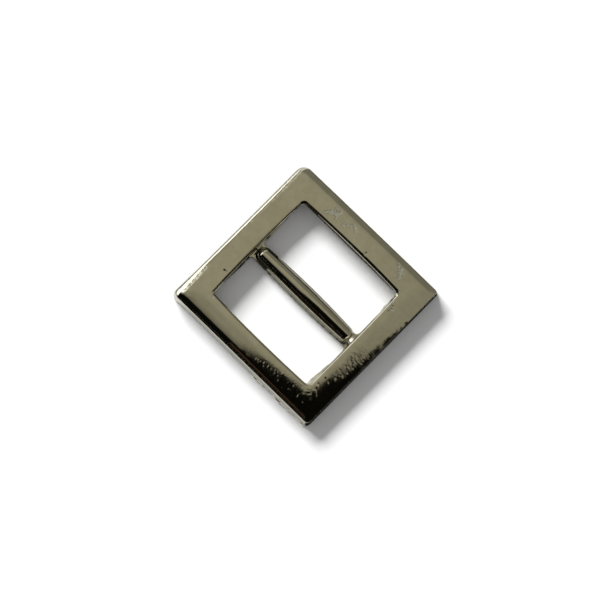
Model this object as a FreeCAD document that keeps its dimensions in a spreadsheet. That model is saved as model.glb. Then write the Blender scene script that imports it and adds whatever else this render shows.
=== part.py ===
"""Square strap slider: a cast frame with a crowned front and one bar across its window.

X runs along the centre bar, Y runs across it, and the crowned front faces +Z.
The origin is the middle of the flat back. Lengths are millimetres.
"""

import FreeCAD, Part
import math
import os

import Sketcher
from FreeCAD import Vector

OUTPUT_FOLDER = "parts"
NEAR = 1e-4              # how close counts as touching when an edge is looked up by its place
CUT_MARGIN = 1.0         # how far the cutters reach past the blank
HALF_TURN = 180          # degrees

# The driving sizes, each set once: alias, value, meaning.
SIZES = [
    ("strap_width", 20.0, "clear length of each slot, along the bar"),
    ("window_span", 20.2, "clear width of the window, across the bar"),
    ("end_rail", 4.5, "width at the back of the rails that carry the bar"),
    ("side_rail", 4.55, "width at the back of the rails beside the bar"),
    ("frame_height", 3.0, "from the back to the crest of the front"),
    ("back_bevel", 0.2, "bevel of the outer edge at the back"),
    ("parting_height", 0.35, "height at which the frame is widest"),
    ("wall_lean", 0.25, "how far the outer wall leans in below the shoulder"),
    ("shoulder_width", 1.0, "rolled band between the outer wall and the crown"),
    ("shoulder_fall", 0.5, "drop of that band from the crown to the wall"),
    ("shoulder_bulge", 0.045, "how far the band stands out from a straight bevel"),
    ("crown_corner", 0.05, "corner of the crown's outline, inside the band"),
    ("crown_run", 2.0, "width of the sloping part of the front"),
    ("crown_drop", 0.17, "fall of the front over that width"),
    ("ledge_width", 0.1, "step round the window, level with the bar's web"),
    ("ledge_height", 0.8, "from the back to the top of the step and of the web"),
    ("end_lean", 0.25, "lean of the window's walls at the ends of the bar"),
    ("side_lean", 0.03, "lean of the window's walls beside the bar"),
    ("window_corner", 0.35, "corner of the window, seen from the front"),
    ("back_edge", 0.15, "rounding of the window's edge at the back"),
    ("front_edge", 0.35, "rounding of the window's edge at the front"),
    ("web_recess", 0.25, "from the back to the underside of the web"),
    ("web_width", 3.3, "width of the web at mid length"),
    ("web_taper", 0.7, "how much narrower the web is at its roots"),
    ("root_radius", 0.65, "fillet between the web and the step"),
    ("web_edge", 0.15, "rounding of the web's long lower edges"),
    ("web_lip", 0.2, "how far the web stands out beside the ridge at mid length"),
    ("ridge_taper", 0.24, "how much smaller the ridge's noses are"),
    ("nose_gap", 0.2, "from each nose to the end of the slot"),
    ("ridge_wall", 0.1, "upright side of the ridge, under its round top"),
    ("ridge_foot", 0.06, "fillet between the ridge and the web"),
]


class Size:
    """A length together with the sheet expression that gives it."""

    def __init__(self, value, text):
        self.value = value
        self.text = text

    def combined(self, other, symbol, value):
        other_text = other.text if isinstance(other, Size) else repr(other)
        return Size(value, f"({self.text} {symbol} {other_text})")

    def __add__(self, other):
        return self.combined(other, "+", self.value + number(other))

    def __sub__(self, other):
        return self.combined(other, "-", self.value - number(other))

    def __mul__(self, other):
        return self.combined(other, "*", self.value * number(other))

    def __truediv__(self, other):
        return self.combined(other, "/", self.value / number(other))

    def __neg__(self):
        return Size(-self.value, f"(-1 * {self.text})")

    def squared(self):
        return self * self

    def root(self):
        return Size(math.sqrt(self.value), f"sqrt({self.text})")


LEVEL_ZERO = Size(0.0, "0")     # the back of the frame, and the middle line of the bar


def number(length):
    """Plain value of a Size or of a number."""
    return length.value if isinstance(length, Size) else float(length)


def make_sheet(doc):
    """Spreadsheet with one aliased cell for each driving size; returns the sizes by alias."""
    sheet = doc.addObject("Spreadsheet::Sheet", "sizes")
    for row, (alias, value, meaning) in enumerate(SIZES, start=1):
        sheet.set(f"A{row}", alias)
        sheet.set(f"B{row}", str(value))
        sheet.set(f"C{row}", meaning)
        sheet.setAlias(f"B{row}", alias)
    doc.recompute()
    return {alias: Size(float(sheet.get(alias)), f"sizes.{alias}") for alias, _, _ in SIZES}


# ---- sketches -----------------------------------------------------------------------------

def bulging_arc(start, end, radius):
    """Arc from start to end that bulges right of its way, or left if radius < 0."""
    chord = end - start
    right = Vector(chord.y, -chord.x, 0).normalize() * math.copysign(1, radius)
    depth = math.sqrt(radius ** 2 - (chord.Length / 2) ** 2)
    crest = (start + end) / 2 + right * (abs(radius) - depth)
    return Part.Arc(start, crest, end)


def bulge_radius(run, rise, bulge):
    """Radius of an arc that spans run and rise and stands out from its chord by bulge."""
    return (run.squared() + rise.squared()) / (bulge * 8) + bulge / 2


def side_ends(sketch, side, start):
    """Sketch numbers, 1 or 2, of the ends at which a side starts and stops."""
    starts_at_one = sketch.getPoint(side, 1).distanceToPoint(start) < NEAR
    return (1, 2) if starts_at_one else (2, 1)


def pin(sketch, kind, place, length):
    """Add one dimension to a sketch and bind it to the sheet."""
    index = sketch.addConstraint(Sketcher.Constraint(kind, *place, length.value))
    sketch.setExpression(f"Constraints[{index}]", length.text)


def draw_outline(body, name, plane, corners, lift=None):
    """Closed sketch on one of the body's own planes, raised by lift where it is given.

    Each corner is (across, up) or (across, up, radius). With a radius, the side that
    leaves the corner is an arc, which bulges right of its way, or left if radius < 0.
    """
    sketch = body.newObject("Sketcher::SketchObject", name)
    own_plane = next(item for item in body.Origin.OriginFeatures if item.Role == plane)
    sketch.AttachmentSupport = [(own_plane, "")]
    sketch.MapMode = "FlatFace"
    if lift is not None:
        sketch.setExpression("AttachmentOffset.Base.z", lift.text)
    places = [Vector(across.value, up.value, 0) for across, up, *_ in corners]
    for start, end, (_, _, *radius) in zip(places, places[1:] + places[:1], corners):
        side = bulging_arc(start, end, radius[0].value) if radius else Part.LineSegment(start, end)
        sketch.addGeometry(side, False)
    ends = [side_ends(sketch, side, start) for side, start in enumerate(places)]
    for side, (across, up, *radius) in enumerate(corners):
        first = ends[side][0]
        before = (side - 1) % len(corners)
        sketch.addConstraint(Sketcher.Constraint("Coincident", before, ends[before][1], side, first))
        pin(sketch, "DistanceX", (side, first), across)
        pin(sketch, "DistanceY", (side, first), up)
        if radius:
            pin(sketch, "Radius", (side,), radius[0] if radius[0].value > 0 else -radius[0])
    return sketch


def rectangle(half_x, half_y):
    """Corners of a centred rectangle, anticlockwise."""
    return [(half_x, -half_y), (half_x, half_y), (-half_x, half_y), (-half_x, -half_y)]


def rounded_rectangle(half_x, half_y, radius):
    """Corners of a centred rectangle with rounded corners, anticlockwise."""
    flat_x, flat_y = half_x - radius, half_y - radius
    return [
        (half_x, -flat_y), (half_x, flat_y, radius), (flat_x, half_y), (-flat_x, half_y, radius),
        (-half_x, flat_y), (-half_x, -flat_y, radius), (-flat_x, -half_y), (flat_x, -half_y, radius),
    ]


def mirrored(corners):
    """The same outline on the other side of the sketch's upright axis."""
    return [(-across, up, *[-bend for bend in radius]) for across, up, *radius in corners]


# ---- edges that are rounded ---------------------------------------------------------------

def round_edges(body, name, radius, wanted):
    """Fillet on the edges of the body's present shape for which wanted(edge) holds."""
    body.Document.recompute()
    base = body.Tip
    edges = [f"Edge{n}" for n, edge in enumerate(base.Shape.Edges, start=1) if wanted(edge)]
    fillet = body.newObject("PartDesign::Fillet", name)
    fillet.Base = (base, edges)
    fillet.setExpression("Radius", radius.text)


def lies_level(edge, height):
    """Whether an edge lies in the level plane at this height."""
    box = edge.BoundBox
    return abs(box.ZMin - height.value) < NEAR and abs(box.ZMax - height.value) < NEAR


def lies_within(edge, half_x, half_y):
    """Whether an edge's ends lie within a centred rectangle, seen from the front."""
    ends = [vertex.Point for vertex in edge.Vertexes]
    return all(abs(end.x) < half_x.value + NEAR and abs(end.y) < half_y.value + NEAR for end in ends)


# ---- frame --------------------------------------------------------------------------------

def cut_crown(body, name, plane, half_width, s):
    """Slope the front down toward two opposite rails; the slope starts level at the crest."""
    shoulder = half_width - s["wall_lean"] - s["shoulder_width"]
    crest = shoulder - s["crown_run"]
    radius = (s["crown_run"].squared() + s["crown_drop"].squared()) / (s["crown_drop"] * 2)
    shoulder_top = s["frame_height"] - s["crown_drop"]
    steepest = s["crown_drop"] * 2 / s["crown_run"]
    reach = half_width + CUT_MARGIN
    above = s["frame_height"] + CUT_MARGIN
    right = [
        (crest, s["frame_height"], -radius), (shoulder, shoulder_top),
        (reach, shoulder_top - steepest * (reach - shoulder)), (reach, above), (crest, above),
    ]
    for side, outline in (("right", right), ("left", mirrored(right))):
        cut = body.newObject("PartDesign::Pocket", f"{name}_{side}")
        cut.Profile = draw_outline(body, f"{name}_{side}_outline", plane, outline)
        cut.Type = "ThroughAll"
        cut.SideType = "Symmetric"


def cut_outer_wall(body, half_x, half_y, s):
    """Sweep a cutter round the frame: back bevel, parting line, leaning wall and shoulder."""
    wall_top = half_x - s["wall_lean"]
    shoulder = wall_top - s["shoulder_width"]
    shoulder_top = s["frame_height"] - s["crown_drop"]
    roll = bulge_radius(s["shoulder_width"], s["shoulder_fall"], s["shoulder_bulge"])
    corner = s["wall_lean"] + s["shoulder_width"] + s["crown_corner"]
    bevel_foot = half_x - s["back_bevel"]
    reach, above, below = half_x + CUT_MARGIN, s["frame_height"] + CUT_MARGIN, LEVEL_ZERO - CUT_MARGIN
    path = draw_outline(body, "wall_path", "XY_Plane", rounded_rectangle(half_x, half_y, corner))
    cut = body.newObject("PartDesign::SubtractivePipe", "outer_wall")
    cut.Profile = draw_outline(body, "wall_section", "XZ_Plane", [
        (bevel_foot, LEVEL_ZERO), (half_x, s["back_bevel"]), (half_x, s["parting_height"]),
        (wall_top, shoulder_top - s["shoulder_fall"], roll), (shoulder, shoulder_top),
        (shoulder, above), (reach, above), (reach, below), (bevel_foot, below),
    ])
    cut.Spine = (path, [f"Edge{n}" for n in range(1, path.GeometryCount + 1)])


def cut_window(body, s):
    """Open the window: a straight throat behind the step, and leaning walls in front of it."""
    half_x, half_y = s["strap_width"] / 2, s["window_span"] / 2
    step_x, step_y = half_x + s["ledge_width"], half_y + s["ledge_width"]
    mouth_x, mouth_y = step_x + s["end_lean"], step_y + s["side_lean"]

    def outline(name, reach_x, reach_y, height):
        corners = rounded_rectangle(reach_x, reach_y, s["window_corner"])
        return draw_outline(body, name, "XY_Plane", corners, height)

    throat = body.newObject("PartDesign::Pocket", "throat")
    throat.Profile = outline("throat_outline", half_x, half_y, LEVEL_ZERO)
    throat.Type = "ThroughAll"
    throat.SideType = "Symmetric"
    walls = body.newObject("PartDesign::SubtractiveLoft", "window_walls")
    walls.Profile = outline("window_foot", step_x, step_y, s["ledge_height"])
    walls.Sections = [outline("window_mouth", mouth_x, mouth_y, s["frame_height"])]
    walls.Ruled = True

    def at_front(edge):
        return lies_level(edge, s["frame_height"]) and lies_within(edge, mouth_x, mouth_y)

    def at_back(edge):
        return lies_level(edge, LEVEL_ZERO) and lies_within(edge, half_x, half_y)

    round_edges(body, "front_edge", s["front_edge"], at_front)
    round_edges(body, "back_edge", s["back_edge"], at_back)


def build_frame(doc, s):
    """Frame: crowned front, rolled shoulder, leaning walls and a stepped window."""
    body = doc.addObject("PartDesign::Body", "frame")
    body.Label = "frame"
    half_x = s["strap_width"] / 2 + s["end_rail"]
    half_y = s["window_span"] / 2 + s["side_rail"]
    blank = body.newObject("PartDesign::Pad", "blank")
    blank.Profile = draw_outline(body, "blank_outline", "XY_Plane", rectangle(half_x, half_y))
    blank.setExpression("Length", s["frame_height"].text)
    cut_crown(body, "crown_x", "XZ_Plane", half_x, s)
    cut_crown(body, "crown_y", "YZ_Plane", half_y, s)
    cut_outer_wall(body, half_x, half_y, s)
    cut_window(body, s)


# ---- centre bar ---------------------------------------------------------------------------

def pad_web(body, half_length, s):
    """Flat web, widest at mid length, whose flared roots meet the step of the window."""
    flare = s["root_radius"]
    neck_x = half_length - flare
    half_width = s["web_width"] / 2
    side = bulge_radius(neck_x * 2, LEVEL_ZERO, s["web_taper"] / 2)
    side_centre = half_width - side
    root_y = side_centre + ((side + flare).squared() - neck_x.squared()).root()
    share = side / (side + flare)
    meet_x, meet_y = neck_x * share, side_centre + (root_y - side_centre) * share
    web = body.newObject("PartDesign::Pad", "web")
    web.Profile = draw_outline(body, "web_outline", "XY_Plane", [
        (half_length, -root_y), (half_length, root_y, -flare), (meet_x, meet_y, side),
        (-meet_x, meet_y, -flare), (-half_length, root_y), (-half_length, -root_y, -flare),
        (-meet_x, -meet_y, side), (meet_x, -meet_y, -flare),
    ], s["web_recess"])
    web.setExpression("Length", (s["ledge_height"] - s["web_recess"]).text)

    def is_long_lower_edge(edge):
        return lies_level(edge, s["web_recess"]) and edge.BoundBox.XLength > half_length.value

    round_edges(body, "web_edge", s["web_edge"], is_long_lower_edge)


def raise_ridge(body, half_length, s):
    """Barrel-shaped ridge on the web, with a rounded nose at each end."""
    tip = half_length - s["nose_gap"]
    radius = s["web_width"] / 2 - s["web_lip"]
    nose = radius - s["ridge_taper"]
    nose_centre = tip - nose
    side = (nose_centre.squared() + radius.squared() - nose.squared()) / (s["ridge_taper"] * 2)
    share = nose / (side - nose)
    meet_x = nose_centre + nose_centre * share
    meet_y = (side - radius) * share
    half_outline = [(tip, LEVEL_ZERO, nose), (meet_x, meet_y, side), (-meet_x, meet_y, nose)]
    other_half = [(-tip, LEVEL_ZERO, nose), (-meet_x, -meet_y, side), (meet_x, -meet_y, nose)]

    wall = body.newObject("PartDesign::Pad", "ridge_wall")
    full_outline = half_outline + other_half
    wall.Profile = draw_outline(body, "ridge_outline", "XY_Plane", full_outline, s["ledge_height"])
    wall.setExpression("Length", s["ridge_wall"].text)
    barrel = body.newObject("PartDesign::Revolution", "ridge_top")
    barrel.Profile = draw_outline(body, "barrel_outline", "XY_Plane", half_outline + [(-tip, LEVEL_ZERO)],
                                  s["ledge_height"] + s["ridge_wall"])
    barrel.ReferenceAxis = (barrel.Profile[0], ["H_Axis"])
    barrel.Angle = HALF_TURN

    def is_foot(edge):
        return lies_level(edge, s["ledge_height"]) and lies_within(edge, tip, radius)

    round_edges(body, "ridge_foot", s["ridge_foot"], is_foot)


def build_center_bar(doc, s):
    """Centre bar, whose ends meet the step of the window face to face."""
    body = doc.addObject("PartDesign::Body", "center_bar")
    body.Label = "center_bar"
    half_length = s["strap_width"] / 2
    pad_web(body, half_length, s)
    raise_ridge(body, half_length, s)


# ---- checks and files ---------------------------------------------------------------------

def check(doc, bodies):
    """Stop if any object failed to build or any piece is not one valid solid."""
    for item in doc.Objects:
        if "Invalid" in item.State or "Error" in item.State:
            raise RuntimeError(f"{item.Name} did not build: {item.State}")
    for body in bodies:
        if body.Shape.isNull() or not body.Shape.isValid() or len(body.Shape.Solids) != 1:
            raise RuntimeError(f"{body.Label} is not one valid solid")


def main():
    """Build both pieces, check them and write one STEP file for each."""
    doc = FreeCAD.newDocument("strap_slider")
    s = make_sheet(doc)
    build_frame(doc, s)
    build_center_bar(doc, s)
    doc.recompute()
    bodies = [item for item in doc.Objects if item.TypeId == "PartDesign::Body"]
    check(doc, bodies)
    os.makedirs(OUTPUT_FOLDER, exist_ok=True)
    for body in bodies:
        body.Shape.exportStep(os.path.join(OUTPUT_FOLDER, f"{body.Label}.step"))
        print(f"{body.Label}: {body.Shape.Volume:.1f} mm3")


main()
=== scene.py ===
"""Dressed model of a square cast strap slider in bright nickel plate, with its studio.

X runs along the bar, Y runs across it, the crowned front faces +Z and the flat back
lies on the floor. Sizes named here are millimetres, and meshes are built in metres.
"""

import logging
import math
import random
from collections.abc import Callable
from dataclasses import dataclass, field
from enum import Enum

import bmesh
import bpy
from mathutils import Matrix, Vector, kdtree, noise

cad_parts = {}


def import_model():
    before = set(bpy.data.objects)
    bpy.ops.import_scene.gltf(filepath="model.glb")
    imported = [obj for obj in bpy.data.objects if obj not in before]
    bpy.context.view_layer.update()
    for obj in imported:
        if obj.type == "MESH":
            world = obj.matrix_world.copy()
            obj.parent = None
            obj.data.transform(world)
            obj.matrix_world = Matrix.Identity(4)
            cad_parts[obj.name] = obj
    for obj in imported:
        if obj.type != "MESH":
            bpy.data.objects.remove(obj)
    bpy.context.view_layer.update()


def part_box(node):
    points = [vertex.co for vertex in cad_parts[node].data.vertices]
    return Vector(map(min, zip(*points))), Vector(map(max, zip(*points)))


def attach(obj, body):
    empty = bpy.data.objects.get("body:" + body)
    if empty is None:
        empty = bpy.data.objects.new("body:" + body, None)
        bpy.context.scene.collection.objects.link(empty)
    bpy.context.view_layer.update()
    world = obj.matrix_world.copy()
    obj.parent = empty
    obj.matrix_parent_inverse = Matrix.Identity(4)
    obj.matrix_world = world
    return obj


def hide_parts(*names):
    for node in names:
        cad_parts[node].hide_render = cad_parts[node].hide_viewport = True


MM = 0.001
LOG = logging.getLogger("strap_slider")

Colour = tuple[float, float, float, float]
Place = tuple[float, float, float]

JOIN_REACH = 0.002       # points nearer than this are one while a piece is shaped, in millimetres
CLOSE_REACH = 0.0005     # the same, once its shape is done
FRONT_FACING = 0.3       # upward part of a normal from which a point counts as front


# ---- small tools --------------------------------------------------------------------------

def eased(value: float, low: float, high: float) -> float:
    """How far value has passed from low to high, from 0 to 1, with soft ends.

    Args:
        value: The value to place.
        low: Where the result leaves 0.
        high: Where the result reaches 1.

    Returns:
        A share from 0 to 1.
    """
    share = min(1.0, max(0.0, (value - low) / (high - low)))
    return share * share * (3 - 2 * share)


def near(place: Vector, x: float, y: float, reach: float) -> float:
    """Soft round weight that is 1 at (x, y) and fades over about reach millimetres."""
    return math.exp(-((place.x - x) ** 2 + (place.y - y) ** 2) / (reach * reach))


def grain(place: Vector, size: float, seed: float) -> float:
    """Smooth seeded noise from about -1 to 1, whose lumps are about size millimetres."""
    return noise.noise(Vector((place.x / size + seed, place.y / size - seed, place.z / size + 3 * seed)))


def along_line(distance: float) -> Vector:
    """Place for noise that varies along one line only."""
    return Vector((distance, 0, 0))


@dataclass(frozen=True)
class Ripple:
    """Unevenness of a skin: how high its lumps are, how wide, and its seed."""

    height: float
    size: float
    seed: float

    def at(self, place: Vector) -> float:
        """How far the skin stands out at a place, in millimetres."""
        return self.height * grain(place, self.size, self.seed)


class Workpiece:
    """A mesh object that is shaped in edit mode, with picks by place in millimetres."""

    def __init__(self, name: str) -> None:
        """Take the object just added, name it and open it for editing.

        Args:
            name: The piece's name.
        """
        self.piece = bpy.context.object
        self.piece.name = self.piece.data.name = name
        bpy.ops.object.mode_set(mode="EDIT")
        bpy.context.tool_settings.mesh_select_mode = (True, False, False)

    @property
    def cage(self) -> bmesh.types.BMesh:
        """The mesh under edit."""
        return bmesh.from_edit_mesh(self.piece.data)

    def pick(self, wanted: Callable[[Vector], bool], among: list[int] | None = None) -> None:
        """Select the vertices whose place passes the test, and nothing else.

        Args:
            wanted: Test on a vertex's place in millimetres.
            among: The numbers of the vertices to look at; all where it is left out.
        """
        bpy.ops.mesh.select_all(action="DESELECT")
        cage = self.cage
        cage.verts.ensure_lookup_table()
        for vertex in cage.verts if among is None else [cage.verts[n] for n in among]:
            vertex.select = wanted(vertex.co / MM)
        cage.select_flush_mode()
        bmesh.update_edit_mesh(self.piece.data)

    def tag(self, value: int, wanted: Callable[[Vector], bool]) -> None:
        """Mark the vertices that pass the test; what is extruded from them keeps the mark.

        Args:
            value: The mark.
            wanted: Test on a vertex's place in millimetres.
        """
        cage = self.cage
        marks = cage.verts.layers.int.get("part") or cage.verts.layers.int.new("part")
        for vertex in cage.verts:
            if wanted(vertex.co / MM):
                vertex[marks] = value
        bmesh.update_edit_mesh(self.piece.data)

    def pick_tagged(self, value: int, among: list[int]) -> None:
        """Select the vertices that carry a mark, and nothing else.

        Args:
            value: The mark.
            among: The numbers of the vertices to look at.
        """
        bpy.ops.mesh.select_all(action="DESELECT")
        cage = self.cage
        marks = cage.verts.layers.int["part"]
        cage.verts.ensure_lookup_table()
        for number in among:
            cage.verts[number].select = cage.verts[number][marks] == value
        cage.select_flush_mode()
        bmesh.update_edit_mesh(self.piece.data)

    def pick_edges(self, wanted: Callable[[Vector, Vector], bool]) -> None:
        """Select the edges that pass the test, and nothing else.

        Args:
            wanted: Test on the places of an edge's two ends, in millimetres.
        """
        bpy.context.tool_settings.mesh_select_mode = (False, True, False)
        bpy.ops.mesh.select_all(action="DESELECT")
        cage = self.cage
        for edge in cage.edges:
            edge.select = wanted(edge.verts[0].co / MM, edge.verts[1].co / MM)
        cage.select_flush_mode()
        bmesh.update_edit_mesh(self.piece.data)

    def picked(self) -> list[int]:
        """The numbers of the vertices that are selected now."""
        cage = self.cage
        cage.verts.index_update()
        return [vertex.index for vertex in cage.verts if vertex.select]

    def move(self, x: float = 0, y: float = 0, z: float = 0) -> None:
        """Move what is selected, in millimetres."""
        bpy.ops.transform.translate(value=(x * MM, y * MM, z * MM))

    def resize(self, scale: Place, center: Place) -> None:
        """Scale what is selected about a centre in millimetres."""
        bpy.ops.transform.resize(value=scale, center_override=tuple(c * MM for c in center))

    def extrude(self, x: float = 0, y: float = 0, z: float = 0) -> None:
        """Extrude what is selected and move the new part, in millimetres."""
        shift = {"value": (x * MM, y * MM, z * MM)}
        bpy.ops.mesh.extrude_region_move(TRANSFORM_OT_translate=shift)

    def join(self, reach: float) -> None:
        """Merge the points that lie close together, and select all.

        Args:
            reach: How close together, in millimetres.
        """
        bpy.ops.mesh.select_all(action="SELECT")
        bpy.ops.mesh.remove_doubles(threshold=reach * MM)
        bpy.ops.mesh.select_all(action="SELECT")

    def close(self) -> bpy.types.Object:
        """Merge doubled vertices, turn the faces outward, smooth them and leave edit mode."""
        self.join(CLOSE_REACH)
        bpy.ops.mesh.normals_make_consistent(inside=False)
        bpy.ops.object.mode_set(mode="OBJECT")
        bpy.ops.object.shade_smooth()
        return self.piece


def fresh_start() -> None:
    """Leave edit mode and deselect everything before a new primitive is added."""
    if bpy.context.object and bpy.context.object.mode != "OBJECT":
        bpy.ops.object.mode_set(mode="OBJECT")
    bpy.ops.object.select_all(action="DESELECT")


# ---- frame --------------------------------------------------------------------------------

class Corner(Enum):
    """The four corners of the frame, by the signs of their X and Y."""

    LEFT_FRONT = (-1, -1)
    LEFT_REAR = (-1, 1)
    RIGHT_FRONT = (1, -1)
    RIGHT_REAR = (1, 1)


@dataclass(frozen=True)
class Ring:
    """One closed line round the frame: its reach in X and Y, its height and its corners."""

    reach_x: float
    reach_y: float
    height: float
    corner: float
    outer: bool = False      # whether the corners keep the radii of the outer edge
    mouth: float = 0.0       # share of the extra radii that the window's corners have
    kept: float = 0.0        # share of the crease's radii that the corners still have


@dataclass(frozen=True)
class Bow:
    """How one edge of the window bows, by its axis and side, from low along it to high."""

    axis: int
    side: int
    low: float
    middle: float
    high: float


@dataclass(frozen=True)
class Skew:
    """How one outer side lies off true, by its axis and side."""

    axis: int
    side: int
    level: float
    slope: float
    bow: float


@dataclass(frozen=True)
class Rough:
    """A round place on the front where the skin is rough, and how rough it is."""

    x: float
    y: float
    reach: float
    share: float


@dataclass(frozen=True)
class Ledge:
    """How the step stands out at one end of the window, along Y."""

    lip: float
    lip_y: float
    lip_reach: float
    dip: float
    dip_from: float
    dip_to: float
    both_ways: bool
    ripple: Ripple

    def out(self, y: float) -> float:
        """How far the step stands out.

        Args:
            y: Place along Y in millimetres.

        Returns:
            Its distance in millimetres.
        """
        bulge = self.lip * math.exp(-((y - self.lip_y) / self.lip_reach) ** 2)
        past = abs(y) if self.both_ways else -y
        dip = self.dip * eased(past, self.dip_from, self.dip_to)
        return bulge - dip + self.ripple.at(Vector((0, y, 0)))


@dataclass
class CastFrame:
    """The square frame: a crowned front, rolled shoulders and a window with leaning walls."""

    half_x: float
    half_y: float
    height: float
    bevel: float = 0.2
    parting: float = 0.35
    wall_lean: float = 0.25
    wall_top: float = 2.33
    crease: float = 1.25
    crease_height: float = 2.83
    crown_run: float = 2.0
    window_x: float = 10.0
    window_y: float = 10.1
    step: float = 0.12
    step_height: float = 0.8
    lean_x: float = 0.21
    lean_y: float = 0.03
    rim: float = 0.55
    window_corner: float = 0.35
    back_rings: tuple[float, ...] = (0.8, 1.6, 2.4, 3.2)
    throat: tuple[tuple[float, float], ...] = (
        (0.07, 0.79), (0.12, 0.77), (0.15, 0.72), (0.15, 0.5), (0.15, 0.3), (0.15, 0.15),
        (0.11, 0.05), (0.0, 0.0))
    corner_steps: int = 12
    side_cuts: tuple[tuple[int, float], ...] = ((13, 5.0), (13, 0.9))
    corner_keep: float = 0.6
    outer_radius: dict[Corner, float] = field(default_factory=lambda: {
        Corner.LEFT_REAR: 1.6, Corner.RIGHT_REAR: 0.65, Corner.RIGHT_FRONT: 0.9, Corner.LEFT_FRONT: 1.25})
    mouth_radius: dict[Corner, float] = field(default_factory=lambda: {
        Corner.LEFT_REAR: 0.45, Corner.RIGHT_REAR: 0.3, Corner.RIGHT_FRONT: 0.5, Corner.LEFT_FRONT: 0.0})
    bows: tuple[Bow, ...] = (Bow(0, -1, -0.36, -0.11, -0.43), Bow(0, 1, -0.13, -0.09, -0.24),
                             Bow(1, -1, -0.29, -0.06, -0.26), Bow(1, 1, -0.48, -0.24, -0.48))
    skews: tuple[Skew, ...] = (Skew(0, -1, 0.0, -0.155, 0.075), Skew(0, 1, 0.19, 0.10, -0.03),
                               Skew(1, 1, 0.0, 0.115, -0.035))
    skew_zone: tuple[float, float] = (10.9, 13.6)
    ledge_left: Ledge = Ledge(0.05, 0.0, 1.5, 0.2, 2.5, 9.0, True, Ripple(0.03, 1.1, 8.3))
    ledge_right: Ledge = Ledge(0.45, 0.6, 6.0, 0.17, 4.0, 9.8, False, Ripple(0.10, 0.8, 4.4))
    rough_places: tuple[Rough, ...] = (
        Rough(11.4, -11.4, 2.8, 0.45), Rough(12.1, -1.4, 1.9, 1.0), Rough(12.1, -5.0, 2.0, 0.5),
        Rough(13.4, 1.6, 1.4, 0.4), Rough(5.5, -12.0, 3.0, 0.4), Rough(-2.0, -12.9, 2.6, 0.2),
        Rough(-13.9, -10.0, 3.2, 1.0), Rough(-13.9, 10.5, 2.6, 1.0), Rough(-13.9, 1.0, 5.0, 0.5))
    waves: Ripple = Ripple(0.003, 3.4, 1.3)
    shoulder_waves: Ripple = Ripple(0.004, 0.9, 5.9)
    peel: tuple[Ripple, Ripple] = (Ripple(0.0008, 0.5, 2.2), Ripple(0.0010, 0.34, 7.7))
    wear: float = 0.16
    burr: float = 0.26
    burr_ripple: Ripple = Ripple(1.0, 0.6, 3.9)

    def outer_ring(self, inset: float, height: float) -> Ring:
        """Ring at a given inset from the outer edge."""
        return Ring(self.half_x - inset, self.half_y - inset, height, -inset, outer=True)

    def shoulder(self, steps: int = 11) -> list[Ring]:
        """Rings up the rolled shoulder, from the outer wall to the crease.

        Args:
            steps: How many steps the roll has.

        Returns:
            The rings in order.
        """
        start = Vector((self.wall_lean, self.wall_top))
        end = Vector((self.crease, self.crease_height))
        pull_low = start + Vector((0.06, 0.14))
        pull_high = end - Vector((0.45, 0.12))
        rings = []
        for step in range(steps + 1):
            s = step / steps
            point = ((1 - s) ** 3 * start + 3 * (1 - s) ** 2 * s * pull_low
                     + 3 * (1 - s) * s * s * pull_high + s ** 3 * end)
            rings.append(self.outer_ring(point.x, point.y))
        return rings

    def crown(self, steps: int = 20) -> list[Ring]:
        """Rings over the crowned front, from the crease to the window's rim.

        Args:
            steps: How many rings there are.

        Returns:
            The rings in order.
        """
        start = self.outer_ring(self.crease, self.crease_height)
        mouth_x = self.window_x + self.step + self.lean_x + self.rim
        mouth_y = self.window_y + self.step + self.lean_y + self.rim
        drop = self.height - self.crease_height
        rings = []
        for step in range(1, steps + 1):
            s = step / steps
            reach_x = start.reach_x + (mouth_x - start.reach_x) * s
            reach_y = start.reach_y + (mouth_y - start.reach_y) * s
            climb = 1 - min(1.0, (start.reach_x - reach_x) / self.crown_run)
            height = self.height - drop * climb * climb
            corner = 0.4 + 0.2 * math.sin(math.pi * s)
            rings.append(Ring(reach_x, reach_y, height, corner, mouth=s, kept=(1 - s) ** 2))
        return rings

    def window(self, steps: int = 8) -> list[Ring]:
        """Rings round the rim, down the leaning wall, over the step and down the throat.

        Args:
            steps: How many rings the rim has, and the wall.

        Returns:
            The rings in order.
        """
        step_x, step_y = self.window_x + self.step, self.window_y + self.step
        mouth_x, mouth_y = step_x + self.lean_x, step_y + self.lean_y
        rings = []
        for step in range(1, steps + 1):
            turn = math.pi / 2 * step / steps
            out = self.rim * (1 - math.sin(turn))
            fall = self.rim * (1 - math.cos(turn))
            corner = self.window_corner + 0.01 + 0.1 * out
            rings.append(Ring(mouth_x + out, mouth_y + out, self.height - fall, corner, mouth=1.0))
        top = self.height - self.rim
        for step in range(1, steps + 1):
            s = step / steps
            height = top - (top - self.step_height) * s
            rings.append(Ring(mouth_x - self.lean_x * s, mouth_y - self.lean_y * s, height,
                              self.window_corner, mouth=1 - s))
        return rings + [Ring(step_x - inset, step_y - inset, height, self.window_corner)
                        for inset, height in self.throat]

    def rings(self) -> list[Ring]:
        """All rings in order, from the back, round the outside and over the front to the back."""
        step_x, step_y = self.window_x + self.step, self.window_y + self.step
        back = [Ring(step_x, step_y, 0.0, self.window_corner)]
        back += [Ring(step_x + out, step_y + out, 0.0, 0.4) for out in self.back_rings]
        back += [self.outer_ring(self.bevel, 0.0), self.outer_ring(self.bevel / 2, self.bevel / 2),
                 self.outer_ring(0.0, self.bevel), self.outer_ring(0.0, self.parting),
                 self.outer_ring(0.005, self.parting + 0.03)]
        climb = self.wall_top - self.parting
        back += [self.outer_ring(self.wall_lean * s / 7, self.parting + climb * s / 7) for s in range(1, 7)]
        return back + self.shoulder() + self.crown() + self.window()

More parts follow.
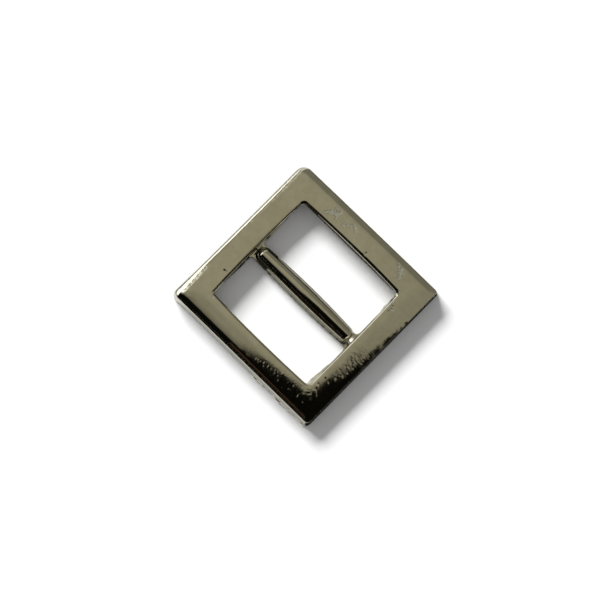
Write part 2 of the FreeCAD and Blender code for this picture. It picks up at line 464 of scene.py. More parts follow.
    def bowed(self, place: Vector) -> Vector:
        """Shift of the window's front edges, which bow outward between its corners.

        Args:
            place: The point in millimetres.

        Returns:
            Its shift in millimetres.
        """
        rise = eased(place.z, self.step_height, self.height)
        mouth = (self.window_x + self.step + self.lean_x, self.window_y + self.step + self.lean_y)
        shift = Vector((0, 0, 0))
        for bow in self.bows:
            if place[bow.axis] * bow.side <= 0:
                continue
            out = abs(place[bow.axis]) - mouth[bow.axis]
            along = max(-1.0, min(1.0, place[1 - bow.axis] / mouth[1 - bow.axis]))
            weight = rise * eased(out, -4.0, 0.0) * (1 - eased(out, 0.4, 2.1))
            end = bow.high if along > 0 else bow.low
            shift[bow.axis] = bow.side * weight * (bow.middle + (end - bow.middle) * along * along)
        return shift

    def skewed(self, place: Vector) -> Vector:
        """Shift of the outer edge, whose four sides aren't quite parallel.

        Args:
            place: The point in millimetres.

        Returns:
            Its shift in millimetres.
        """
        shift = Vector((0, 0, 0))
        for skew in self.skews:
            if place[skew.axis] * skew.side > 0:
                along = place[1 - skew.axis] / self.half_x
                weight = eased(abs(place[skew.axis]), *self.skew_zone)
                off = skew.level + skew.slope * along + skew.bow * along * along
                shift[skew.axis] = skew.side * weight * off
        return shift

    def stepped(self, place: Vector) -> Vector:
        """Shift of the step round the window, which is uneven at the two ends of the bar.

        Args:
            place: The point in millimetres.

        Returns:
            Its shift in millimetres.
        """
        fade = 1 - eased(place.z, self.step_height, self.step_height + 1.2)
        out = abs(place.x) - self.window_x
        if fade <= 0 or out > 0.5 or out < -1:
            return Vector((0, 0, 0))
        ledge = self.ledge_right if place.x > 0 else self.ledge_left
        return Vector((ledge.out(place.y), 0, 0)) * fade * (1 - 0.6 * eased(out, 0.02, 0.14))

    def roughness_at(self, place: Vector) -> float:
        """How strong the orange peel is at a place, from 0 to 1."""
        return min(1.0, sum(spot.share * near(place, spot.x, spot.y, spot.reach)
                            for spot in self.rough_places))

    def burred(self, place: Vector) -> float:
        """How far the burr stands out on the lower edge of the -Y side.

        Args:
            place: The point in millimetres.

        Returns:
            Its distance in millimetres, 0 off that edge.
        """
        if place.z >= self.parting + 0.01 or place.y >= -14.0 or place.x <= 0.5:
            return 0.0
        lump = self.burr_ripple.at(along_line(place.x)) + 0.45
        return self.burr * max(0.0, lump) * eased(place.x, 1.5, 3.5) * eased(place.z, 0.05, 0.2)

    def settle(self, place: Vector, normal: Vector) -> tuple[Vector, float]:
        """Where a point of the true frame lies in the casting.

        Args:
            place: The point in millimetres.
            normal: The surface's direction there.

        Returns:
            Its shift in millimetres, and how rough its skin is, from 0 to 1.
        """
        shift = self.bowed(place) + self.stepped(place) + self.skewed(place)
        front = eased(place.z, 1.6, 2.4)
        peel = self.roughness_at(place)
        shoulder = eased(max(abs(place.x), abs(place.y)), 12.9, 13.5)
        ragged = 1 + 1.4 * eased(-place.x, 12.0, 12.9)
        weight = ragged * (peel * (0.15 + 1.6 * shoulder) + 0.25 * shoulder) * front
        skin = self.waves.at(place) + shoulder * self.shoulder_waves.at(place)
        skin += weight * sum(ripple.at(place) for ripple in self.peel)
        shift += normal * skin * eased(place.z, 0.0, 0.3)
        shift.z -= self.wear * eased(-place.y, 7.0, 13.8) * eased(-place.x, 12.3, 14.3) * front
        shift.y -= self.burred(place)
        return shift, peel

    def corner_of(self, ring: Ring, corner: Corner) -> tuple[float, float, float]:
        """Centre and radius of one corner of a ring.

        Args:
            ring: The ring.
            corner: Which of its corners.

        Returns:
            The arc's centre in X and Y, and its radius.
        """
        edge, keep = self.outer_radius[corner], self.corner_keep
        if ring.outer:
            radius = max(keep * edge, edge + keep * ring.corner)
        else:
            radius = ring.corner + ring.mouth * self.mouth_radius[corner]
            radius += ring.kept * (max(keep * edge, edge - keep * self.crease) - ring.corner)
        sign_x, sign_y = corner.value
        return sign_x * (ring.reach_x - radius), sign_y * (ring.reach_y - radius), radius

    def build(self) -> bpy.types.Object:
        """Model the frame ring by ring; returns the finished piece."""
        rings = self.rings()
        first = rings[0]
        fresh_start()
        bpy.ops.mesh.primitive_plane_add(size=2 * MM)
        work = Workpiece("cast_frame")
        work.resize((first.reach_x, first.reach_y, 1), (0, 0, 0))
        bpy.ops.mesh.bevel(offset=first.corner * MM, segments=self.corner_steps, affect="VERTICES")
        bpy.ops.mesh.select_all(action="SELECT")
        bpy.ops.mesh.delete(type="ONLY_FACE")
        bpy.ops.mesh.select_all(action="SELECT")
        x, y, radius = first.reach_x - first.corner, first.reach_y - first.corner, first.corner
        last = {corner: (corner.value[0] * x, corner.value[1] * y, radius) for corner in Corner}
        for before, ring in zip(rings, rings[1:]):
            work.extrude(z=ring.height - before.height)
            loop = work.picked()
            for corner in Corner:
                was_x, was_y, was_round = last[corner]
                x, y, radius = self.corner_of(ring, corner)
                sign_x, sign_y = corner.value
                work.pick(lambda place: place.x * sign_x > 0 and place.y * sign_y > 0, loop)
                if abs(radius - was_round) > 1e-6:
                    work.resize((radius / was_round, radius / was_round, 1), (was_x, was_y, 0))
                work.move(x - was_x, y - was_y)
                last[corner] = (x, y, radius)
            work.pick(lambda place: True, loop)
        work.join(JOIN_REACH)
        for cuts, shortest in self.side_cuts:
            work.pick_edges(lambda a, b: (a - b).length > shortest)
            bpy.ops.mesh.subdivide(number_cuts=cuts)
        return work.close()


# ---- bar ----------------------------------------------------------------------------------

class Region(Enum):
    """Parts of the bar's section that are shaped on their own, by the mark that they carry."""

    RIDGE = 1
    WEB_FRONT = 2
    WEB_REAR = 3


@dataclass
class CastBar:
    """The centre bar: a barrel-shaped ridge on a flat web that flares into the frame."""

    half_length: float
    ridge: float = 1.52
    taper: float = 0.24
    tip: float = 9.8
    foot: float = 0.8
    wall: float = 0.1
    web_low: float = 0.25
    web_half: float = 1.575
    web_taper: float = 0.35
    flare: float = 0.55
    overrun: float = 0.5
    neck: float = 0.62
    neck_rise: float = 0.55
    neck_start: float = 9.4
    nose_least: float = 0.1
    edge_round: float = 0.15
    edge_steps: tuple[tuple[float, float], ...] = ((0.11, 0.04), (0.04, 0.11))
    lip: float = 0.02
    lip_rise: float = 0.025
    lip_steps: tuple[tuple[float, float], ...] = ((-0.005, 0.02), (-0.015, 0.005))
    root_steps: tuple[tuple[float, float], ...] = ((-0.015, 0.005), (-0.005, 0.015))
    ridge_shift: float = -0.105
    web_shift: float = -0.215
    web_bow: float = -0.085
    stretch_right: float = 0.14
    stretch_left: float = 0.1
    waves: tuple[Ripple, Ripple] = (Ripple(0.005, 1.6, 3.1), Ripple(0.0006, 0.5, 9.2))
    ragged: float = 0.09
    ragged_ripples: tuple[Ripple, Ripple] = (Ripple(1.0, 0.42, 2.7), Ripple(0.6, 1.3, 6.1))
    round_steps: int = 26
    stations: int = 48
    nose_steps: int = 12
    root_stations: int = 6

    def ridge_at(self, x: float) -> float:
        """Radius of the ridge.

        Args:
            x: Place along the bar in millimetres.

        Returns:
            The radius in millimetres.
        """
        nose = self.ridge - self.taper
        start = self.tip - nose
        bulge = self.ridge - self.taper * (min(abs(x), start) / start) ** 2
        if abs(x) <= start:
            return bulge
        least = self.nose_least
        if x > self.neck_start:
            least = self.neck + self.neck_rise * (x - self.neck_start)
        return max(least, math.sqrt(max(0.0, nose ** 2 - (abs(x) - start) ** 2)))

    def web_at(self, x: float) -> float:
        """Half width of the web.

        Args:
            x: Place along the bar in millimetres.

        Returns:
            The half width in millimetres.
        """
        half = self.web_half - self.web_taper * (x / self.half_length) ** 2
        past = abs(x) - (self.half_length - self.flare)
        if past > 0:
            past = min(past, self.flare)
            half += self.flare - math.sqrt(self.flare ** 2 - past ** 2)
        return half

    def half_section(self) -> list[tuple[float, float]]:
        """Steps in Y and Z from the middle of the underside, round the web, up the ridge's wall."""
        side = (self.foot - self.web_low - self.edge_round - self.lip_rise) / 2
        ledge = (self.web_half - self.lip - self.ridge - self.lip) / 2
        return [(self.web_half - self.edge_round, 0), *self.edge_steps, (0, side), (0, side),
                *self.lip_steps, (-ledge, 0), (-ledge, 0), *self.root_steps, (0, self.wall - self.lip)]

    def in_ridge(self, place: Vector) -> bool:
        """Whether a point of the section belongs to the ridge or to its root on the web."""
        above = place.z - self.foot
        return above > 0.001 or (above > -0.001 and abs(place.y) < self.ridge + self.lip + 0.001)

    def build(self) -> bpy.types.Object:
        """Model the bar as a section that is extruded station by station."""
        fresh_start()
        end = self.half_length + self.overrun
        bpy.ops.mesh.primitive_plane_add(size=2 * MM)
        work = Workpiece("cast_bar")
        bpy.ops.mesh.merge(type="CENTER")
        work.move(-end, 0, self.web_low)
        run = self.half_section()
        place = [(0.0, self.web_low)]
        for y, z in run:
            place.append((place[-1][0] + y, place[-1][1] + z))
            work.extrude(y=y, z=z)
        hub = self.foot + self.wall
        steps = self.round_steps
        for step in range(1, steps):
            turn = math.pi * step / steps
            y, z = self.ridge * math.cos(turn), hub + self.ridge * math.sin(turn)
            work.extrude(y=y - place[-1][0], z=z - place[-1][1])
            place.append((y, z))
        mirrored = [(-y, z) for y, z in place[len(run)::-1]]
        for (was_y, was_z), (y, z) in zip([place[-1]] + mirrored, mirrored):
            work.extrude(y=y - was_y, z=z - was_z)
        work.join(JOIN_REACH)
        web_sides = {Region.WEB_FRONT.value: -1, Region.WEB_REAR.value: 1}
        work.tag(Region.RIDGE.value, self.in_ridge)
        for mark, side in web_sides.items():
            work.tag(mark, lambda p: not self.in_ridge(p) and p.y * side > self.ridge - 0.1)
        xs = self.station_places(end)
        ridge, web = self.ridge, self.web_half
        for was_x, x in zip(xs[:1] + xs, xs):
            if x > was_x:
                work.extrude(x=x - was_x)
            loop = work.picked()
            new_ridge, new_web = self.ridge_at(x), self.web_at(x)
            work.pick_tagged(Region.RIDGE.value, loop)
            work.resize((1, new_ridge / ridge, new_ridge / ridge), (0, 0, self.foot))
            for mark, side in web_sides.items():
                work.pick_tagged(mark, loop)
                work.move(y=side * (new_web - web))
            work.pick(lambda place: True, loop)
            ridge, web = new_ridge, new_web
        for side in (-1, 1):
            work.pick(lambda p: abs(p.x - side * end) < 0.01)
            bpy.ops.mesh.edge_face_add()
        return work.close()

    def settle(self, place: Vector, normal: Vector) -> tuple[Vector, float]:
        """Where a point of the true bar lies in the casting.

        Args:
            place: The point in millimetres.
            normal: The surface's direction there.

        Returns:
            Its shift in millimetres, and how rough its skin is, from 0 to 1.
        """
        web = 1 - eased(place.z, self.foot - 0.05, self.foot + 0.15)
        middle = self.web_shift + self.web_bow * (place.x / self.half_length) ** 2
        shift = Vector((0, self.ridge_shift + web * (middle - self.ridge_shift), 0))
        shift.x = self.stretch_right * eased(place.x, 7.0, 9.8)
        shift.x -= self.stretch_left * eased(-place.x, 8.0, 9.8)
        shift += normal * sum(ripple.at(place) for ripple in self.waves)
        if place.y < -1.0 and web > 0.3:
            line = along_line(place.x)
            lump = sum(ripple.at(line) for ripple in self.ragged_ripples)
            lump += 1.6 * near(line, -6.2, 0, 0.35)
            shift.y -= self.ragged * max(-0.4, lump) * web * eased(-place.y, 1.0, 1.4)
        return shift, 0.2 + 0.5 * web

    def station_places(self, end: float) -> list[float]:
        """Places of the sections, closer together at the noses and the roots.

        Args:
            end: Place of the last section, in millimetres.

        Returns:
            Places along the bar in millimetres.
        """
        nose = self.ridge - self.taper
        start = self.tip - nose
        half = [start * step / self.stations for step in range(self.stations)]
        half += [start + nose * math.sin(math.pi / 2 * step / self.nose_steps)
                 for step in range(self.nose_steps + 1)]
        half += [self.tip + (end - self.tip) * step / self.root_stations
                 for step in range(1, self.root_stations + 1)]
        return [-x for x in half[:0:-1]] + half


# ---- what the casting leaves --------------------------------------------------------------

class Mark(Enum):
    """Kinds of mark in the metal."""

    PIT = "pit"
    DENT = "dent"
    PIMPLE = "pimple"


@dataclass(frozen=True)
class Flaw:
    """One mark in the front: its kind, its place, how far it reaches and how deep it is."""

    kind: Mark
    x: float
    y: float
    reach: float
    depth: float

    def height(self, place: Vector) -> float:
        """Height that the mark adds.

        Args:
            place: The point in millimetres.

        Returns:
            The height in millimetres.
        """
        spread = near(place, self.x, self.y, self.reach)
        if self.kind is Mark.DENT:
            return -self.depth * eased(spread * (1 + 1.1 * grain(place, 0.38, 6.6)), 0.45, 0.7)
        return self.depth * spread * (1 if self.kind is Mark.PIMPLE else -1)


@dataclass(frozen=True)
class Scatter:
    """A cloud of small pits and pimples: its middle, its spread, how many and how strong."""

    x: float
    y: float
    spread_x: float
    spread_y: float
    count: int
    strength: float

    def drawn(self, dice: random.Random) -> list[Flaw]:
        """The cloud's marks, drawn one by one.

        Args:
            dice: Where the draws come from.

        Returns:
            The marks.
        """
        marks = []
        for _ in range(self.count):
            kind = Mark.PIT if dice.random() < 0.4 else Mark.PIMPLE
            marks.append(Flaw(kind, dice.gauss(self.x, self.spread_x), dice.gauss(self.y, self.spread_y),
                              dice.uniform(0.075, 0.12), self.strength * dice.uniform(0.004, 0.009)))
        return marks


DENT_DEPTH = 0.02
DENTS = (
    (-6.65, 11.2, 0.28), (-6.35, 11.5, 0.25), (-5.95, 11.85, 0.35), (-5.45, 12.1, 0.5),
    (-4.95, 12.2, 0.5), (-4.8, 12.75, 0.3), (-5.8, 12.7, 0.2), (-4.75, 11.6, 0.25),
    (-3.1, 11.7, 0.35), (-2.65, 12.1, 0.25), (-2.15, 12.3, 0.25), (-1.85, 12.7, 0.3),
    (-1.45, 12.5, 0.3), (-1.1, 12.15, 0.25), (7.2, 13.2, 0.25), (7.5, 12.9, 0.25),
    (8.05, 12.75, 0.45), (8.45, 12.35, 0.45), (8.85, 11.9, 0.35), (8.05, 12.2, 0.25),
    (11.25, 6.85, 0.25), (11.35, 7.45, 0.3), (11.1, 7.9, 0.3), (10.9, 8.55, 0.3),
    (10.7, 8.85, 0.2), (-10.1, -10.8, 0.3))
PITS = ((2.35, 11.02, 0.17, 0.06), (-11.38, -6.42, 0.2, 0.08))
SCATTERS = (
    Scatter(11.2, -12.1, 1.1, 0.5, 26, 2.4), Scatter(11.1, -10.6, 0.5, 1.2, 20, 2.4),
    Scatter(3.4, -12.4, 1.1, 0.25, 12, 1.3), Scatter(8.0, -12.4, 2.0, 0.4, 16, 1.8),
    Scatter(12.2, -1.0, 0.4, 1.6, 30, 1.0), Scatter(13.3, -1.8, 0.2, 1.2, 16, 1.2),
    Scatter(12.4, -5.5, 0.6, 1.8, 16, 1.8), Scatter(-13.55, 9.8, 0.14, 1.3, 18, 1.0))


def frame_flaws() -> list[Flaw]:
    """The marks in the frame: flaked dents, a scratch, single pits and scattered small ones."""
    dice = random.Random(11)
    flaws = [Flaw(Mark.DENT, x, y, reach, DENT_DEPTH) for x, y, reach in DENTS]
    flaws += [Flaw(Mark.PIT, *pit) for pit in PITS]
    return flaws + [mark for scatter in SCATTERS for mark in scatter.drawn(dice)]


def cast(piece: bpy.types.Object, settle: Callable[[Vector, Vector], tuple[Vector, float]],
         flaws: list[Flaw]) -> None:
    """Move a true shape's points to where they lie in the real casting.

    Args:
        piece: The piece, whose mesh is changed.
        settle: Gives a point's shift and how rough its skin is.
        flaws: The marks that are pressed into its front.
    """
    mesh = piece.data
    places = [vertex.co / MM for vertex in mesh.vertices]
    normals = [vertex.normal.copy() for vertex in mesh.vertices]
    settled = [settle(place, normal) for place, normal in zip(places, normals)]
    tree = kdtree.KDTree(len(places))
    for number, place in enumerate(places):
        tree.insert((place.x, place.y, 0), number)
    tree.balance()
    scars = [0.0] * len(places)
    for flaw in flaws:
        for _, number, _ in tree.find_range((flaw.x, flaw.y, 0), 2.2 * flaw.reach):
            if normals[number].z > FRONT_FACING:
                settled[number][0].z += flaw.height(places[number])
                if flaw.kind is Mark.DENT:
                    scars[number] = max(scars[number], near(places[number], flaw.x, flaw.y, flaw.reach))
    for vertex, place, (shift, _) in zip(mesh.vertices, places, settled):
        vertex.co = (place + shift) * MM
    for name, values in (("peel", [rough for _, rough in settled]), ("scar", scars)):
        mesh.attributes.new(name, "FLOAT", "POINT").data.foreach_set("value", values)
    mesh.update()


# ---- finishes -----------------------------------------------------------------------------

class Flow:
    """One value in a node tree; sums and products of flows add Math nodes."""

    def __init__(self, net: "Network", socket: bpy.types.NodeSocket) -> None:
        """Wrap a socket of a network."""
        self.net = net
        self.socket = socket

    def maths(self, operation: str, first: "Flow | float", second: "Flow | float") -> "Flow":
        """Add one Math node on two values and return its result."""
        return self.net.node("ShaderNodeMath", {"operation": operation}, {0: first, 1: second})

    def __add__(self, other: "Flow | float") -> "Flow":
        """Sum."""
        return self.maths("ADD", self, other)

    __radd__ = __add__

    def __sub__(self, other: "Flow | float") -> "Flow":
        """Difference."""
        return self.maths("SUBTRACT", self, other)

    def __rsub__(self, other: "Flow | float") -> "Flow":
        """Reflected difference."""
        return self.maths("SUBTRACT", other, self)

    def __mul__(self, other: "Flow | float") -> "Flow":
        """Product."""
        return self.maths("MULTIPLY", self, other)

    __rmul__ = __mul__

    def greater(self, other: "Flow | float") -> "Flow":
        """The greater of two values."""
        return self.maths("MAXIMUM", self, other)

    def lesser(self, other: "Flow | float") -> "Flow":
        """The lesser of two values."""
        return self.maths("MINIMUM", self, other)

    def soft_step(self, low: float, high: float) -> "Flow":
        """Share from 0 to 1 that passes softly from low to high."""
        return self.net.node("ShaderNodeMapRange", {"interpolation_type": "SMOOTHSTEP"},
                             {"Value": self, "From Min": low, "From Max": high})


class Network:
    """Node tree of one material or of the world."""

    def __init__(self, tree: bpy.types.NodeTree) -> None:
        """Start from an empty tree."""
        self.tree = tree
        tree.nodes.clear()

    def raw(self, kind: str, settings: dict, inputs: dict) -> bpy.types.Node:
        """Add a node.

        Args:
            kind: The node's type.
            settings: Its properties, set first.
            inputs: Values or flows for its sockets, by name or number.

        Returns:
            The node.
        """
        node = self.tree.nodes.new(kind)
        for name, value in settings.items():
            setattr(node, name, value)
        for name, value in inputs.items():
            if isinstance(value, Flow):
                self.tree.links.new(value.socket, node.inputs[name])
            else:
                node.inputs[name].default_value = value
        return node

    def node(self, kind: str, settings: dict, inputs: dict, output: int | str = 0) -> Flow:
        """Add a node and return one of its outputs."""
        return Flow(self, self.raw(kind, settings, inputs).outputs[output])

    def place(self) -> Flow:
        """Object coordinates."""
        return self.node("ShaderNodeTexCoord", {}, {}, "Object")

    def axes(self) -> tuple[Flow, Flow, Flow]:
        """Object coordinates, one by one, in metres."""
        split = self.raw("ShaderNodeSeparateXYZ", {}, {0: self.place()})
        return tuple(Flow(self, split.outputs[n]) for n in range(3))

    def cloud(self, size: float, detail: float = 2.0, roughness: float = 0.5) -> Flow:
        """Noise from 0 to 1, whose lumps are about size millimetres."""
        return self.node("ShaderNodeTexNoise", {}, {
            "Vector": self.place(), "Scale": 1 / (size * MM), "Detail": detail, "Roughness": roughness}, 0)

    def blend(self, share: Flow | float, first: Colour | Flow, second: Colour | Flow) -> Flow:
        """Colour that passes from first to second."""
        return self.node("ShaderNodeMix", {"data_type": "RGBA"}, {0: share, 6: first, 7: second}, 2)


@dataclass(frozen=True)
class NickelPlate:
    """Bright nickel over a zinc casting, with fine orange peel where the polish is thin."""

    name: str = "nickel_plate"
    colour: Colour = (0.53, 0.51, 0.43, 1.0)
    tarnish: Colour = (0.47, 0.447, 0.363, 1.0)
    bare: Colour = (0.60, 0.60, 0.58, 1.0)
    lip: Colour = (0.22, 0.21, 0.17, 1.0)
    roughness: float = 0.03
    peel_roughness: float = 0.02
    bare_roughness: float = 0.2
    peel_bump: float = 2.3
    flake_bump: float = 3.0
    bump_unit: float = 0.004

    def make(self) -> bpy.types.Material:
        """Build the material."""
        material = bpy.data.materials.new(self.name)
        material.use_nodes = True
        net = Network(material.node_tree)
        peel = net.node("ShaderNodeAttribute", {"attribute_name": "peel"}, {}, "Fac")
        scar = net.node("ShaderNodeAttribute", {"attribute_name": "scar"}, {}, "Fac")
        broad = net.cloud(4.0, 3.0)
        small = net.cloud(1.1, 4.0)
        fine = net.cloud(0.45, 3.0)
        torn = scar * (3.4 * net.cloud(0.36, 3.0, 0.75) - 0.7)
        patch = torn.soft_step(0.52, 0.58)
        edge = torn.soft_step(0.38, 0.47) * (1 - patch)
        stain = 0.5 * broad.soft_step(0.35, 0.7) + 0.5 * small.soft_step(0.35, 0.65)
        colour = net.blend(stain, self.colour, self.tarnish)
        colour = net.blend(0.85 * patch, colour, self.bare)
        colour = net.blend(0.6 * edge, colour, self.lip)
        rough = self.roughness + 0.03 * fine + self.peel_roughness * peel + self.bare_roughness * patch
        height = 0.03 * fine + self.peel_bump * peel * net.cloud(0.17, 2.0) - self.flake_bump * patch
        normal = net.node("ShaderNodeBump", {}, {
            "Height": height, "Strength": 1.0, "Distance": self.bump_unit * MM})
        shader = net.node("ShaderNodeBsdfPrincipled", {}, {
            "Base Color": colour, "Metallic": 1.0, "Roughness": rough, "Normal": normal})
        net.raw("ShaderNodeOutputMaterial", {}, {0: shader})
        return material


# ---- studio -------------------------------------------------------------------------------

def level(low_x: float, high_x: float, low_y: float, high_y: float, height: float) -> list[Place]:
    """Corners of a level card, in millimetres."""
    return [(low_x, low_y, height), (high_x, low_y, height),
            (high_x, high_y, height), (low_x, high_y, height)]


def upright(start: tuple[float, float], end: tuple[float, float], low: float, high: float) -> list[Place]:
    """Corners of an upright card over the line from start to end, in millimetres."""
    return [(*start, low), (*end, low), (*end, high), (*start, high)]


@dataclass
class Studio:
    """Pale floor, one soft key lamp, reflector cards that the metal mirrors, and the camera."""

    floor_reach: float = 4000.0
    floor_drop: float = 0.01
    sky: float = 0.34
    lamp_far: float = 4000.0
    lamp_side: float = 2100.0
    lamp_height: float = 1020.0
    lamp_toward: Place = (-1.72, 0.42, 1.0)
    lamp_level: float = 43.0
    card_height: float = 200.0
    room_low: float = -262.0
    room_high: float = 900.0
    shade_height: float = 0.02
    shade_warmth: float = 0.93
    flag_edge: tuple[float, float] = (-2.2, -41.0)
    flag_way: tuple[float, float] = (4.1, 41.1)
    flag_soft: float = 1.2
    flag_front: tuple[float, float] = (-52.0, 34.0)
    khaki: Colour = (0.487, 0.463, 0.352, 1.0)
    khaki_far: Colour = (0.26, 0.255, 0.205, 1)
    khaki_end: Colour = (0.12, 0.115, 0.085, 1)
    black: Colour = (0.004, 0.004, 0.003, 1)
    brown: Colour = (0.066, 0.036, 0.024, 1.0)
    glare: Colour = (2.0, 2.0, 1.9, 1)
    lamp_dull: Colour = (0.36, 0.35, 0.29, 1)
    lamp_bright: Colour = (2.5, 2.5, 2.4, 1)
    camera_target: Place = (0.09, -1.10, 0.0)
    camera_back: Place = (0.0062, -0.12985, 0.99151)
    camera_turn: float = -44.288
    camera_far: float = 600.0
    camera_lens: float = 233.16
    camera_sensor: float = 36.0

    def floor(self) -> None:
        """White floor just under the part, which keeps its shadow."""
        fresh_start()
        drop = (0, 0, -self.floor_drop * MM)
        bpy.ops.mesh.primitive_plane_add(size=2 * self.floor_reach * MM, location=drop)
        floor = bpy.context.object
        floor.name = "studio_floor"
        material = bpy.data.materials.new("floor_white")
        material.use_nodes = True
        net = Network(material.node_tree)
        shader = net.node("ShaderNodeBsdfDiffuse", {}, {"Color": (0.9, 0.9, 0.9, 1)})
        net.raw("ShaderNodeOutputMaterial", {}, {0: shader})
        floor.data.materials.append(material)

    def card(self, name: str, corners: list[Place], paint: Callable[[Network], Flow | Colour]) -> None:
        """Add a glowing card that only the metal's reflections see.

        Args:
            name: Its name.
            corners: Its four corners in millimetres, in order round it.
            paint: Gives its colour from the network of its material.
        """
        fresh_start()
        bpy.ops.mesh.primitive_plane_add(size=2 * MM)
        card = bpy.context.object
        card.name = name
        for vertex, corner in zip(sorted(card.data.vertices, key=lambda v: (v.co.y, v.co.x)),
                                  (corners[0], corners[1], corners[3], corners[2])):
            vertex.co = Vector(corner) * MM
        material = bpy.data.materials.new(name + "_glow")
        material.use_nodes = True
        net = Network(material.node_tree)
        glow = net.node("ShaderNodeEmission", {}, {"Color": paint(net), "Strength": 1.0})
        net.raw("ShaderNodeOutputMaterial", {}, {0: glow})
        card.data.materials.append(material)
        for ray in ("camera", "diffuse", "shadow", "transmission", "volume_scatter"):
            setattr(card, "visible_" + ray, False)

    def flag(self, x: Flow, y: Flow) -> Flow:
        """Share of the black flag over one quarter of the ceiling.

        Args:
            x: Place in X, in metres.
            y: Place in Y, in metres.

        Returns:
            A share from 0 to 1.
        """
        soft = self.flag_soft * MM
        edge_x, edge_y = self.flag_edge
        way = Vector(self.flag_way).normalized()
        side = 1 - ((y - edge_y * MM) * way.x - (x - edge_x * MM) * way.y).soft_step(-soft, soft)
        start, fade = self.flag_front
        front = (start * MM - y).soft_step(-fade * MM, fade * MM)
        reach = 11.0 * MM + 0.27 * (x - 4 * MM).greater(0.0).lesser(30 * MM)
        reach = reach + 0.13 * (x - 34 * MM).greater(0.0)
        reach = reach - 1.6 * (12 * MM - x).greater(0.0).lesser(14 * MM)
        return side.greater(front) * (reach - y).soft_step(-soft, soft)

    def ceiling_paint(self, net: Network) -> Flow:
        """Khaki with a flag, a painted glare and glare flecks over the lamp side, and a dimmer far end.

        Args:
            net: The network of the card's material.

        Returns:
            The colour.
        """
        x, y, _ = net.axes()
        flag = self.flag(x, y)
        shaded = 1 - 0.20 * x.soft_step(-10 * MM, 40 * MM)
        shaded = shaded * (0.80 + 0.20 * y.soft_step(-6 * MM, 16 * MM))
        khaki = net.blend(shaded, (0, 0, 0, 1), self.khaki)
        khaki = net.blend(y.soft_step(75 * MM, 185 * MM), khaki, self.khaki_far)
        khaki = net.blend(y.soft_step(700 * MM, 860 * MM), khaki, self.khaki_end)
        # Glare and glare flecks: painted highlight patches, brighter than white, that the metal's shoulders
        # mirror.
        glare = (1 - x.soft_step(-175 * MM, -115 * MM)) * (1 - y.soft_step(8 * MM, 17 * MM))
        glare_flecks = (1 - x.soft_step(-216 * MM, -186 * MM)) * y.soft_step(38 * MM, 60 * MM)
        khaki = net.blend(glare.greater(0.7 * glare_flecks), khaki, self.glare)
        return net.blend(flag, khaki, self.black)

    def lamp_paint(self, net: Network) -> Flow:
        """White strip of the lamp's face, which is taller toward -Y and fades toward +Y.

        Args:
            net: The network of the card's material.

        Returns:
            The colour.
        """
        _, y, z = net.axes()
        top = 176 * MM + 60 * MM * (1 - y.soft_step(6 * MM, 26 * MM))
        lit = (top - z).soft_step(-5 * MM, 5 * MM) * z.soft_step(84 * MM, 96 * MM)
        lit = lit * (1 - 0.45 * y.soft_step(46 * MM, 60 * MM))
        return net.blend(lit, self.lamp_dull, self.lamp_bright)

    def cards(self) -> None:
        """Ceiling, lamp face toward -X, plain walls, brown card and painted shade cards near the floor."""
        low, high, top = self.room_low, self.room_high, self.card_height
        self.card("ceiling_card", level(-222, high, -260, high, top), self.ceiling_paint)
        self.card("lamp_card", upright((-260, -200), (-260, 160), 60, 240), self.lamp_paint)
        for name, corners, colour in (
                ("low_card", upright((low, low), (low, high), 0, 66), (0.45, 0.45, 0.42, 1)),
                ("dark_wall", upright((low, low), (high, low), 0, top), self.black),
                ("far_wall", upright((high, low), (high, high), 0, top), (0.05, 0.04, 0.03, 1)),
                ("rear_wall", upright((low, high), (high, high), 0, top), (0.06, 0.055, 0.04, 1)),
                ("brown_card", [(-3.2, -28.8, 20), (15.5, -30.5, 20), (15.5, -26.5, 20), (-3.2, -24.6, 20)],
                 self.brown)):
            self.card(name, corners, lambda net: colour)
        # Painted shadow: dark cards just above the floor that only the metal's reflections see, darker than
        # the floor there.
        for name, low_x, high_x, low_y, high_y, tone in (
                ("shade_outside", 14.3, 60.0, -16.0, 16.0, 0.015),
                ("shade_inside", -10.3, -7.0, -9.6, 9.6, 0.02),
                ("shade_bar", -7.0, 9.8, -6.5, 5.5, 0.34),
                ("shade_rear", -7.0, 9.8, 8.6, 10.3, 0.16),
                ("shade_lamp_side", -60.0, -14.9, -15.0, 15.0, 0.34)):
            self.card(name, level(low_x, high_x, low_y, high_y, self.shade_height),
                      lambda net: (tone, tone, self.shade_warmth * tone, 1))

    def lamp(self) -> None:
        """Soft key lamp on the -X side."""
        toward = Vector(self.lamp_toward).normalized()
        data = bpy.data.lights.new("key_lamp", "AREA")
        data.shape = "RECTANGLE"
        data.size, data.size_y = self.lamp_side * MM, self.lamp_height * MM
        data.energy = self.lamp_level * math.pi * data.size * data.size_y
        lamp = bpy.data.objects.new("key_lamp", data)
        bpy.context.scene.collection.objects.link(lamp)
        lamp.location = toward * self.lamp_far * MM
        lamp.rotation_euler = toward.to_track_quat("Z", "Y").to_euler()
        lamp.visible_glossy = False

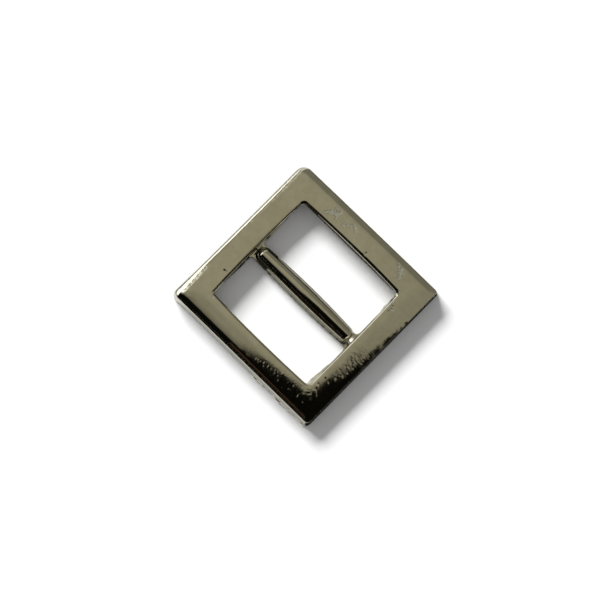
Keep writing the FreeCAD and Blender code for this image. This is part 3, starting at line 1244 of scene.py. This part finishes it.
    def world(self) -> None:
        """White to the camera and in reflections, and a plain soft fill on the floor."""
        world = bpy.data.worlds.new("studio")
        bpy.context.scene.world = world
        world.use_nodes = True
        net = Network(world.node_tree)
        path = net.raw("ShaderNodeLightPath", {}, {})
        camera, glossy, through = (Flow(net, path.outputs[name]) for name in (
            "Is Camera Ray", "Is Glossy Ray", "Is Transmission Ray"))
        strength = self.sky + (1 - self.sky) * camera.greater(glossy).greater(through)
        glow = net.node("ShaderNodeBackground", {}, {"Color": (1, 1, 1, 1), "Strength": strength})
        net.raw("ShaderNodeOutputWorld", {}, {0: glow})

    def camera(self) -> None:
        """Long-lens camera nearly over the part, turned so that the part stands on a corner."""
        target = Vector(self.camera_target)
        back = Vector(self.camera_back).normalized()
        turn = math.radians(self.camera_turn)
        along = (Vector((1, 0, 0)) - back * back.x).normalized()
        across = back.cross(along)
        right = along * math.cos(turn) - across * math.sin(turn)
        up = along * math.sin(turn) + across * math.cos(turn)
        data = bpy.data.cameras.new("camera")
        data.lens, data.sensor_width = self.camera_lens, self.camera_sensor
        camera = bpy.data.objects.new("camera", data)
        bpy.context.scene.collection.objects.link(camera)
        turned = Matrix((right, up, back)).transposed().to_4x4()
        camera.matrix_world = Matrix.Translation((target + back * self.camera_far) * MM) @ turned
        bpy.context.scene.camera = camera

    def build(self) -> None:
        """Set up the whole studio."""
        self.floor()
        self.cards()
        self.lamp()
        self.world()
        self.camera()


def set_view() -> None:
    """Plain colour management."""
    bpy.context.scene.view_settings.view_transform = "Standard"


def main() -> None:
    """Load the frame, model both pieces, dress them and set up the studio."""
    logging.basicConfig(level=logging.INFO)
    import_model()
    plate = NickelPlate().make()
    _, high = (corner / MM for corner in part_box("frame"))
    frame = CastFrame(half_x=high.x, half_y=high.y, height=high.z)
    _, bar_high = (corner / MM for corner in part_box("center_bar"))
    bar = CastBar(half_length=bar_high.x)
    for maker, node, flaws in ((frame, "frame", frame_flaws()), (bar, "center_bar", [])):
        piece = maker.build()
        cast(piece, maker.settle, flaws)
        piece.data.materials.clear()
        piece.data.materials.append(plate)
        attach(piece, "root")
        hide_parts(node)
        LOG.info("%s: %d faces", piece.name, len(piece.data.polygons))
    Studio().build()
    set_view()


if __name__ == "__main__":
    main()
